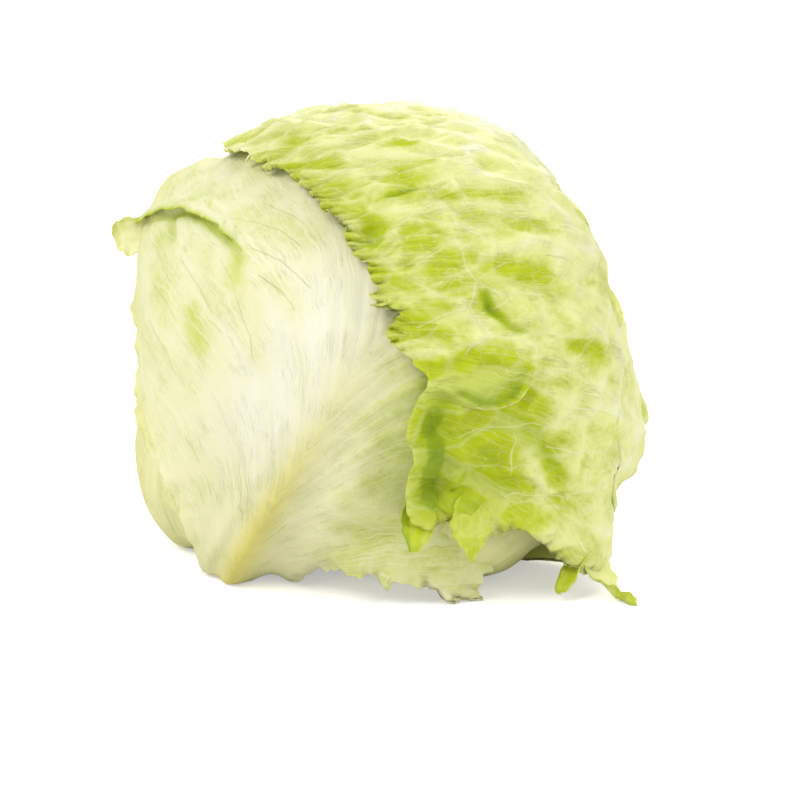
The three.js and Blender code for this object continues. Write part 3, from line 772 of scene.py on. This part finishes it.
def right_form(leaf, places):
    """Puffed between the veins and folded all over; frilled high up, curled outwards lower down."""
    x, y, margin, rim = places["x"], places["y"], places["margin"], places["rim"]
    flat = in_mm(x, y)
    sway = slow_sway(flat, 22, 1, 7)
    wall, wall_way = crackle((flat + sway) * (0.7, 1, 1), 15)
    vein, vein_way = nearest_line(RIGHT_VEINS, x + sway[:, 0] * 0.12 + 0.5 * noise_at(flat, 6, 25),
                                  y + sway[:, 1] * 0.12 + 0.5 * noise_at(flat, 6, 26))
    strand, along = vein_course(x, y, 0, 126, 40)
    from_foot = leaf.from_stem + y
    free = smoothstep(25, 80, from_foot)
    puff = np.minimum(np.minimum(vein, wall + 0.8) / 4.5, 1) ** 1.3
    streaky = noise_at(np.stack([strand / 7, along / 20, 0 * x], 1), 1, 4)
    ridge = 1 - np.minimum(np.abs(noise_at(flat + sway, 19, 7)) * 2.8, 1)
    small_ridge = 1 - np.minimum(np.abs(noise_at(flat + 0.6 * sway, 9, 17)) * 2.6, 1)
    lift = free * (1.3 * puff + 2.0 * noise_at(places["direction"] * SKIN_RADIUS, 34, 3)
                   + 1.1 * noise_at(flat, 12, 5) + 0.4 * noise_at(flat, 5, 6)
                   + 1.7 * ridge + 0.75 * small_ridge + 0.4 * streaky - 1.8)
    lift = (lift + 0.45 * free * bell(vein, 0.9)
            + 2.2 * bell(x, 5) * (1 - smoothstep(15, 110, from_foot)))
    lift, deep_green_and_shade = folded(lift, RIGHT_FOLDS, x + sway[:, 0] * 0.1, y + sway[:, 1] * 0.1, 1.4)
    # A pouch sags low on the free side; along the sharp bend below it a pale line is painted as its
    # highlight.
    from_pouch = np.hypot((x - POUCH_MIDDLE[0]) / POUCH_HALF[0], (y - POUCH_MIDDLE[1]) / POUCH_HALF[1])
    pouch = (1 - smoothstep(0.84, 1.02, from_pouch)) * smoothstep(32, 16, y)
    lift = lift + POUCH_OUT * pouch
    # The free margin: short deep ruffles high up, a strip curled outwards lower down.
    high = smoothstep(-20, -34, rim[:, 0]) * smoothstep(20, 30, rim[:, 1])
    curl = (smoothstep(-80, -86, rim[:, 0]) * smoothstep(-50, -42, rim[:, 1])
            * (1 - smoothstep(12, 20, rim[:, 1])))
    low = smoothstep(-40, -44, rim[:, 0]) * (1 - smoothstep(-34, -28, rim[:, 1]))
    frill = np.abs(np.sin(places["around"] / 1.7 + 2.5 * noise_at(flat, 11, 6)))
    lift = lift + high * (FRILL_OUT * (frill - 0.35) * np.exp(-margin / FRILL_REACH)
                          - 0.6 * np.exp(-margin / 12)
                          + 1.0 * noise_at(flat, 8, 12) * np.exp(-margin / 16))
    lift = lift + curl * (CURL_OUT * bell(margin, CURL_REACH) - 0.8 * bell(margin - 9, 3.5)
                          + 1.6 * bell(margin - 15, 2.2)
                          + 1.4 * noise_at(flat, 6, 14) * np.exp(-margin / 8))
    lift = lift + low * (1.2 * (frill - 0.6) * np.exp(-margin / 5) + 2.0 * np.exp(-margin / 9)
                         + 1.6 * noise_at(flat, 9, 13) * np.exp(-margin / 20))
    # Where it is green: in its thin patches, on the low free side and by the margin. Painted shade
    # adds deep green in the folds, behind the curl, between the frill's teeth and on the low free side;
    # pale ridges and greener cells paint the light and shade of the crinkles as well as its thinner
    # tissue, and a painted highlight whitens the top right.
    ragged = 1.6 * noise_at(flat, 4, 22) + 0.8 * noise_at(flat, 1.8, 23)
    patch = patched(RIGHT_PATCHES, x + sway[:, 0] * 0.35, y + sway[:, 1] * 0.35, ragged, 2.6)
    hidden = smoothstep(-30, -10, x - 0.2 * y)
    patch = patch + hidden * 0.5 * smoothstep(0.05, 0.45, noise_at(flat + sway, 20, 21))
    # The low free side is greener: partly its own colour, partly painted shade where it hangs low.
    low_left_green_and_shade = smoothstep(26, 5, y) * smoothstep(-67, -77, x)
    zone = 0.2 * smoothstep(-40, -70, x) + 0.9 * low_left_green_and_shade + 0.25 * pouch
    green = (0.28 + zone + np.exp(-margin / 24) * (0.15 * high + 0.35 * curl + 0.35 * low)
             + 0.6 * high * np.exp(-margin / 6) + 0.85 * patch + 0.2 * curl * np.exp(-margin / 40)
             + 0.3 * (puff - 0.5) + 0.2 * streaky - 0.4 * ridge - 0.28 * small_ridge
             + 0.12 * noise_at(flat, 2.2, 24)
             - 0.4 * swell(places["direction"], *PAINTED_TOP_HIGHLIGHT, 28)) * free + 0.1
    lift = lift - PATCH_HOLLOW * patch * free
    # Painted shade: a deep green band in the groove behind the curled strip, and deep green in the hollows
    # between the frill's teeth.
    curl_groove_shade = curl * (1 - smoothstep(0, 8, y)) * np.exp(-((margin - 7.6 + 0.6 * ragged) / 2.9) ** 6)
    shade_between_teeth = high * 0.7 * (1 - frill) ** 3 * np.exp(-margin / 5)
    deep_green_and_shade = np.clip(deep_green_and_shade * (1 + 0.8 * streaky) + 0.85 * curl_groove_shade + 0.45 * low_left_green_and_shade * (0.5 + streaky)
                   + shade_between_teeth, 0, 1)
    green = green + 1.2 * deep_green_and_shade
    # Yellow by the margin: a painted glow of light through the thin edge, and a painted highlight on the
    # frill's crests.
    edge = np.exp(-margin / 2.2)
    yellow = edge * (0.45 * low + 0.3 * curl) + 0.4 * high * edge * frill
    return marked(lift, flat, strand, along, yellow, vein_way, wall_way, green, deep_green_and_shade,
                  0.6 * bell(x, 6) * (1 - free))


right_blade = leaf_object(right_leaf, FULL_CELLS, right_form, RIGHT_THICKNESS, finer=(-0.3, 0.1),
                          fringe=right_fringe)
dress(right_blade, "wrapper_leaf_right", green_tissue)

# Shreds of its torn margin: a tail that trails down to the surface, a small rolled tongue, two
# pointed ends that hang from the margin, and a fold that stands out at the right. Each has its way
# down in mm, its half width and its turn in degrees along that way, its roll and wave, how green it
# is along that way, whether it lies on the head or on the surface, and how green its one edge is.
SHREDS = [
    ("tail", [(62, -43, 17), (66, -49, 10), (69, -54, 6), (72, -58, 3.4), (75, -61, 2), (79, -63.5, 1.6)],
     [6.5, 6.2, 5.4, 4.2, 3.2, 1.6], [20, 10, 15, 35, 60, 75], 0.25, 0.08,
     [0.0, 0.0, 0.1, 0.3, 0.7, 0.8], False),
    ("tongue", [(62, -51, 16), (60, -54, 12), (57.5, -57, 8.5), (55.5, -59, 5), (54.8, -60, 3.4)],
     [2.6, 2.6, 2.5, 2.2, 1.0], [20, 20, 30, 30, 30], 0.6, 0.0, [0.7, 0.9, 1.0, 1.0, 1.0], False),
    ("lobe", [(26.6, -70.0, 41), (26.6, -72.4, 36), (26.6, -74.0, 32), (26.5, -75.0, 27),
              (26.5, -75.2, 22.5), (26.5, -75.2, 18.5)],
     [3.0, 7.0, 8.2, 5.8, 2.8, 0.3], [8, 8, 6, 5, 5, 10], 0.0, 0.0,
     [0.9, 0.9, 0.8, 0.8, 0.8, 0.8], True, 0.0),
    ("strip_end", [(9.8, -74.5, 38), (9.6, -77.5, 34), (9.4, -79.6, 30.5), (9.0, -80.6, 27),
                   (8.2, -80.4, 23.6)],
     [4.8, 5.2, 5.0, 3.4, 1.6], [0, 0, 0, 10, 20], 0.2, 0.04, [0.9, 1.0, 1.0, 1.0, 1.0], True, 0.9),
    ("fold", [(64, -34, 103.5), (68, -36, 98), (71.3, -37, 93), (73.6, -37, 88), (74.6, -36.5, 84.5)],
     [0.5, 1.6, 2.4, 2.0, 0.4], [-35, -40, -40, -40, -35], -0.3, 0.0, [0.2, 0.3, 0.4, 0.3, 0.2], True)]
SHRED_THICKNESS = 0.45
SHRED_HEIGHT = 0.6                # the least height of its outer side, which the thickness hangs under
NO_VEIN = 9                       # mm to the nearest vein: too far for it to show


def shred_object(name, stops, half_widths, turns, roll, wave, greens, on_head, edge_green=0.5):
    """A strip of blade along a smooth way through the stops, torn along its edges."""
    mesh, across, along = blade_grid("leaf_" + name, 14, int(90 * DETAIL))
    t, stop_at = (along + 1) / 2, np.linspace(0, 1, len(stops))
    curve = np.polynomial.polynomial
    course = curve.polyfit(stop_at, np.array(stops, float), 3)
    middle = curve.polyval(t, course).T
    way = unit(curve.polyval(t, curve.polyder(course)).T)
    level = unit(np.cross(way, unit(middle - HEAD_CENTRE) if on_head else (0, 0, 1.0)))
    face = np.cross(level, way)
    turn = np.radians(np.interp(t, stop_at, turns))[:, None]
    side = level * np.cos(turn) + face * np.sin(turn)
    out = face * np.cos(turn) - level * np.sin(turn)
    half = np.interp(t, stop_at, half_widths)
    length = np.linalg.norm(np.diff(stops, axis=0), axis=1).sum()
    flat = np.stack([across * half, t * length, 0 * t], 1)
    edge = 1 + 0.22 * noise_at(flat, 2.2, 41) + 0.2 * noise_at(flat, 4.5, 42)
    bend = (roll * half * (across ** 2 - 0.4) + 0.8 * noise_at(flat, 4, 43)
            + wave * half * np.sin(t * 30) * across)
    points = middle + (across * half * edge)[:, None] * side + bend[:, None] * out
    points[:, 2] = np.maximum(points[:, 2], SHRED_HEIGHT)
    yellow = 0.3 * smoothstep(0.6, 0.8, t) * across ** 4
    marks = marked(None, flat + (0, -200, 0), flat[:, 0], flat[:, 1], yellow, 0 * flat + NO_VEIN,
                   0 * flat + NO_VEIN, np.interp(t, stop_at, greens),
                   edge_green * np.maximum(across, 0) ** 3, 0 * t)
    return finished_blade("leaf_" + name, mesh, points, marks, SHRED_THICKNESS)


for shred in SHREDS:
    dress(shred_object(*shred), "wrapper_leaf_right", green_tissue)


# ---- Front wrapper leaf ----------------------------------------------------------------------
# The big pale leaf on the left of the front. A thick white and yellow rib rises from its foot at
# the lower left, and its veins spread from it like a fan. Its top left margin is folded in.

FRONT_OUTLINE = [
    (-168, 50), (-160, 41), (-149, 37), (-134, 39), (-126, 47), (-117, 54), (-104, 53), (-95, 57),
    (-88, 61), (-83, 68), (-77, 74), (-60, 79), (-40, 82), (-15, 78), (15, 73), (45, 68), (75, 64),
    (100, 61), (110, 60), (120, 61), (128, 60), (134, 51), (142, 45), (155, 44), (166, 48)]
FRONT_RIM = [
    (0, -60), (-8, -59), (-10, -49), (-13, -40), (-19, -32), (-27, -28), (-38, -27), (-48, -24), (-51, -13),
    (-56, -6), (-60, 0), (-65, 3), (-68, 8), (-72, 14), (-79, 20), (-85, 30), (-83, 44), (-68, 62),
    (-24, 78), (19, 70), (48, 48), (62, 17), (60, -10), (56, -20), (54.5, -27), (52, -33), (48, -38),
    (42, -36), (36, -34), (31, -34), (26, -35), (18, -40), (12, -47), (8, -59)]
FRONT_TEETH = [
    (32, -34, 1.2, -3.6, 1.2, 2), (44.5, -37.5, 1.6, -3, 1.5, 2), (49, -37, 1.6, -3, 1.5, 2),
    (53.5, -30, 1.6, -1.4, 1.3, 2)]
front_leaf = Leaf("wrapper_leaf_front", (75, -112), FRONT_OUTLINE, [right_leaf], foot=36, rim=FRONT_RIM,
                  hub=(5, 5), hang={"below": -36, "until": -62, "from": -98, "to": -40, "share": 0.9})
FRONT_RIB = [(-5, -70), (-4, -57), (-1, -43), (2, -32), (7, -13), (11, 5), (14, 25), (17, 60)]
# Folds as on the right leaf: a bent line, how far it stands out (or in), how wide it is, how much painted
# shade lies along it.
FRONT_FOLDS = [
    ([(-65, 12), (-57, 19), (-50, 24), (-46, 26), (-40, 28), (-31, 29), (-25, 28), (-21, 25)],
     -1.7, 1.5, 0.9),
    ([(-66, 17), (-57, 23), (-50, 28), (-45, 30), (-39, 32), (-30, 32.5), (-23, 31)], 1.6, 2.4, -0.2),
    ([(-53, 22), (-48, 20), (-44, 19)], -1.6, 1.8, 0.5)]
FRONT_THICKNESS = 0.6
RIB_OUT, RIB_WIDTH = 5.2, 4.4     # the thick rib, and the valleys and lower ribs on both sides of it
RIB_SIDES = [(10, -2.2, 5), (-9, 1.8, 3), (19, 1.2, 5)]
# Where it bulges, up beside the tip of the right leaf: how far in mm, how much less for each mm that
# it lies deeper, and how much less still where the right leaf lies tight over it.
FRONT_SHOULDER = (160, 40)
SHOULDER_OUT, SHOULDER_EASE, SHOULDER_TUCK, TIGHT_DEPTH = 6.8, 0.4, 2.6, 3.4
# Thinner, greener patches, as on the right leaf, and the longest of the fine veins.
FRONT_PATCHES = [
    (-23, 26, -20, 22, 4, 0.8), (-19, 23, -17, 20, 3, 0.5), (-27, 10, -21, 5, 4.5, 0.75),
    (-48, 14, -36, 6, 7, 0.3), (-14, 27, -4, 24, 4.5, 0.35), (-12, 18, -8, 12, 5, 0.3),
    (-30, 36, -15, 40, 5, 0.3), (-50, 28, -42, 32, 4, 0.4)]
FRONT_VEINS = [
    [(-31, 33), (-25, 35.5), (-19, 37), (-12, 36), (-6, 34)], [(-28, 40), (-20, 41.5), (-12, 41)],
    [(-22, 30), (-14, 31), (-9, 30), (-5, 29), (-1, 27)], [(-16, 26), (-10, 25.5), (-6, 24), (-2, 21)],
    [(-27, 24), (-21, 22), (-16, 18), (-11, 14), (-8, 8), (-7, 2)],
    [(-38, 18), (-28, 16), (-18, 12)], [(-46, 8), (-36, 8), (-26, 4)], [(-42, 0), (-30, -2), (-22, -7)]]


def front_fringe(rim, run):
    """Small tears on the left margin, fine teeth on the lower one, in mm."""
    along = np.stack([run, 0 * run, 0 * run], 1)
    left = smoothstep(-24, -32, rim[:, 0]) * smoothstep(60, 40, rim[:, 1])
    lower = smoothstep(10, 16, rim[:, 0]) * (1 - smoothstep(-24, -18, rim[:, 1]))
    return (left + 0.5 * lower) * (0.9 * noise_at(along, 3.5, 18) + 0.9 * noise_at(along, 8, 19))


def front_form(leaf, places):
    """A thick rib and veins that spread from it; a fold and a lip at the top left."""
    x, y, margin, rim = places["x"], places["y"], places["margin"], places["rim"]
    flat = in_mm(x, y)
    sway = slow_sway(flat, 24, 11, 6)
    middle = np.interp(y, [p[1] for p in FRONT_RIB], [p[0] for p in FRONT_RIB])
    swayed = x + sway[:, 0] * 0.1, y + sway[:, 1] * 0.1
    strand, along = vein_course(*swayed, middle, 45, 14)
    wall, wall_way = crackle((flat + sway) * (0.6, 1, 1) + 40, 19)
    vein, vein_way = nearest_line(FRONT_VEINS, *swayed)
    from_foot = leaf.from_stem + y
    free = smoothstep(35, 100, from_foot)
    ridge = (x - middle) * DEGREE_MM
    rib = 1 - smoothstep(15, 98, from_foot)
    streaky = noise_at(np.stack([strand / 6, along / 26, 0 * x], 1), 1, 13)
    lift = RIB_OUT * rib * bell(ridge, RIB_WIDTH)
    for place, out, width in RIB_SIDES:
        lift = lift + out * rib * bell(ridge - place, width)
    lift = (lift + 0.5 * free * np.minimum(wall / 5, 1)
            + 0.5 * streaky * smoothstep(20, 60, from_foot)
            + 1.6 * noise_at(places["direction"] * SKIN_RADIUS, 34, 3) * free
            + 0.7 * noise_at(flat, 13, 15) * free - 0.4)
    lift, deep_green_and_shade = folded(lift, FRONT_FOLDS, *swayed, 1.5)
    # Its margins: waved at the left, more so where the lower one hangs free.
    phase = places["around"] / 2.1 + 3 * noise_at(flat, 12, 16)
    ripple = np.sin(phase) + 0.5 * np.sin(2.7 * phase)
    left = smoothstep(-9, -14, rim[:, 0]) * (1 - smoothstep(-8, 2, rim[:, 1]))
    under = smoothstep(10, 16, rim[:, 0]) * (1 - smoothstep(-24, -18, rim[:, 1]))
    lift = lift + ripple * (0.5 * left + under) * np.exp(-margin / 4) + 1.8 * left * np.exp(-margin / 5)
    depth = leaf.depth_at(places["direction"])
    lift = lift + swell(places["direction"], *FRONT_SHOULDER, 20) * (
        SHOULDER_OUT - SHOULDER_EASE * depth - SHOULDER_TUCK * np.maximum(depth - TIGHT_DEPTH, 0))
    # It is greener at the left margin and in thin patches, and whitest on its cheek; beside the right
    # leaf it is greener with painted shade from that leaf's overhang.
    side = smoothstep(-24, -34, rim[:, 0]) * np.exp(-margin / 9)
    patch = patched(FRONT_PATCHES, x + sway[:, 0] * 0.3, y + sway[:, 1] * 0.3)
    shadow_side = smoothstep(12, 27, x) * smoothstep(-50, -30, y)
    white = bell(x + 2 - 0.1 * y, 16) * smoothstep(-30, 5, y) * smoothstep(55, 25, y)
    green = (0.05 + 0.15 * free + 0.2 * side + 0.5 * shadow_side + 0.25 * streaky * free + 0.9 * patch
             - 0.65 * white)
    rib_colour = (1 - smoothstep(40, 110, from_foot)) * bell(ridge, 5) * smoothstep(0, 15, from_foot)
    return marked(lift, flat + (0, 300, 0), strand, along, 0.6 * side, vein_way, wall_way, green,
                  np.clip(deep_green_and_shade, 0, 1), rib_colour)


front_blade = leaf_object(front_leaf, FULL_CELLS, front_form, FRONT_THICKNESS, finer=(-0.1, -0.1),
                          fringe=front_fringe, lobes=FRONT_TEETH)
dress(front_blade, "wrapper_leaf_front", pale_tissue)

# Its folded margin: the lip over the fold, and the leaf's own tip that stands out at the left.
FRONT_SHREDS = [
    ("lip", [(-82.8, 2, 111.8), (-72.8, -17, 121.2), (-65, -27, 122.5), (-56, -42, 123.5), (-49, -51, 121),
             (-43.5, -58, 115.5), (-41.5, -61.5, 110)],
     [3.4, 3.2, 3.2, 3.2, 2.8, 2.2, 1.0], [20, 24, 26, 24, 18, 10, 0], -0.25, 0.03,
     [0.5, 0.5, 0.3, 0.1, 0.1, 0.1, 0.2], True, 1.0),
    ("tip", [(-73, -2, 108), (-79, -4, 108.5), (-83.5, -4.5, 108), (-87, -4, 107), (-89.8, -3.5, 106)],
     [4.6, 5.2, 5.8, 5.6, 2.4], [70, 75, 80, 85, 90], 0.3, 0.04, [0.1, 0.15, 0.3, 0.4, 0.5], False)]
for shred in FRONT_SHREDS:
    dress(shred_object(*shred), "wrapper_leaf_front", pale_tissue)


# ---- Other wrapper leaves --------------------------------------------------------------------
# Four more loose leaves close the head at the left, the back, underneath and the rear right.

PLAIN_THICKNESS = 0.8
PLAIN_SWINGS = (-164, -145, -120, -90, -60, -30, 0, 30, 60, 90, 120, 145, 164)
# Each one's middle (from the stem and round it, in degrees), cells, material slot, how green and how
# yellow it is, where it sags or is drawn in, and its reach at the swings.
OTHER_WRAPPERS = [
    ("wrapper_leaf_left", (82, -178), 150, "pale_leaf", 0.4, 0.45,
     [(160, 40, 3.6, 20), (186, -31, -4.2, 16)], (54, 50, 58, 66, 78, 84, 84, 80, 72, 64, 60, 56, 58)),
    ("wrapper_leaf_back", (88, 112), 150, "green_leaf", 0.5, 0.0, [(186, -31, -4.2, 16)],
     (60, 56, 62, 68, 78, 88, 90, 84, 72, 64, 56, 53, 60)),
    ("wrapper_leaf_low", (78, -52), 110, "pale_leaf", 0.45, 0.3, [(-56, -44, 13, 16)],
     (52, 48, 54, 62, 72, 80, 82, 78, 72, 62, 52, 48, 52)),
    ("wrapper_leaf_rear_right", (80, 58), 110, "pale_leaf", 0.15, 0.15, [],
     (54, 50, 56, 64, 74, 80, 82, 78, 70, 60, 52, 49, 54))]
FOOT_FLARE = 10                   # how far a foot flares to each side, in degrees
wrappers = [right_leaf, front_leaf]
for k, (name, centre, cells, slot, greenness, yellow, bellies, reaches) in enumerate(OTHER_WRAPPERS):
    leaf = Leaf(name, centre, list(zip(PLAIN_SWINGS, reaches)), wrappers)
    # Near the stem the blade flares out behind its neighbours, which closes the head from below.
    flare = FOOT_FLARE * smoothstep(-16, -44, leaf.rim[:, 1])
    leaf.rim[:, 0] += flare * np.clip(leaf.rim[:, 0] / 8, -1, 1)
    tissue = green_tissue if slot == "green_leaf" else pale_tissue
    form = plain_form(greenness, seed=20 + 5 * k, yellow=yellow, bellies=bellies)
    blade = leaf_object(leaf, int(cells * DETAIL), form, PLAIN_THICKNESS)
    dress(blade, name, tissue)
    wrappers.append(leaf)


# ---- Firm head and heart ---------------------------------------------------------------------
# Inside the wrappers the leaves fold tightly over each other, paler and yellower inwards. Each
# new leaf grows a golden turn further round the stem.

GOLDEN_TURN = 137.5
FIRST_TURN = 200
HEAD_LEAVES = {"count": 6, "from_stem": 100, "depth": 21, "pitch": 4.4, "cells": 60,
               "outline": [(-160, 68), (-120, 66), (-90, 76), (-60, 86), (-30, 92), (0, 94), (30, 92),
                           (60, 86), (90, 76), (120, 66), (160, 68)]}
HEART_LEAVES = {"count": 5, "from_stem": 88, "depth": 47.4, "pitch": 3.6, "cells": 50,
                "outline": [(-155, 52), (-120, 50), (-90, 58), (-60, 68), (-30, 76), (0, 78), (30, 76),
                            (60, 68), (90, 58), (120, 50), (155, 52)]}
turns = 0
inner_leaves = [("head_leaf", inner_tissue, HEAD_LEAVES), ("heart_leaf", heart_tissue, HEART_LEAVES)]
for kind, tissue, group in inner_leaves:
    for k in range(group["count"]):
        name = f"{kind}_{k + 1}"
        leaf = Leaf(name, (group["from_stem"], FIRST_TURN + turns * GOLDEN_TURN), group["outline"], [],
                    depth=group["depth"] + k * group["pitch"])
        form = plain_form(0.25, crinkle=0.5, ruffle=0.6, seed=50 + turns)
        blade = leaf_object(leaf, int(group["cells"] * DETAIL), form, PLAIN_THICKNESS)
        dress(blade, name, tissue)
        turns += 1


# ---- Stem ------------------------------------------------------------------------------------
# The short juicy stem that all leaves grow from, cut across when the head was picked. The cut is
# moist, with a ring of strands, a brownish rim and a softer pith.

STRANDS_PER_M = 260               # its grain and stains: about 4 and 14 mm across
STAINS_PER_M = 70

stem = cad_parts["stem"]
cut_stem = bpy.data.materials.new("moist_cut_stem")
cut_stem.use_nodes = True
tree = cut_stem.node_tree
tree.nodes.clear()
place = add_node(tree, "ShaderNodeTexCoord")
grain = add_node(tree, "ShaderNodeTexNoise",
                 {"Vector": place.outputs["Object"], "Scale": STRANDS_PER_M, "Detail": 4})
stain = add_node(tree, "ShaderNodeTexNoise",
                 {"Vector": place.outputs["Object"], "Scale": STAINS_PER_M, "Detail": 3})
flesh = add_node(tree, "ShaderNodeMix", {"Factor": grain.outputs["Fac"], "A": srgb("#efe9c6"),
                 "B": srgb("#d9d59a")}, data_type="RGBA")
brown = add_node(tree, "ShaderNodeMapRange", {"Value": stain.outputs["Fac"], "From Min": 0.5,
                 "From Max": 0.75, "To Min": 0.0, "To Max": 0.5})
stained = add_node(tree, "ShaderNodeMix", {"Factor": brown.outputs[0], "A": flesh.outputs["Result"],
                   "B": srgb("#b98a55")}, data_type="RGBA")
bump = add_node(tree, "ShaderNodeBump",
                {"Height": grain.outputs["Fac"], "Strength": 0.4, "Distance": 0.4 * MM})
skin = add_node(tree, "ShaderNodeBsdfPrincipled", {"Base Color": stained.outputs["Result"],
                "Roughness": 0.35, "IOR": 1.4, "Normal": bump.outputs[0]})
add_node(tree, "ShaderNodeOutputMaterial", {"Surface": skin.outputs[0]})
for material_slot in stem.material_slots:
    material_slot.material = cut_stem
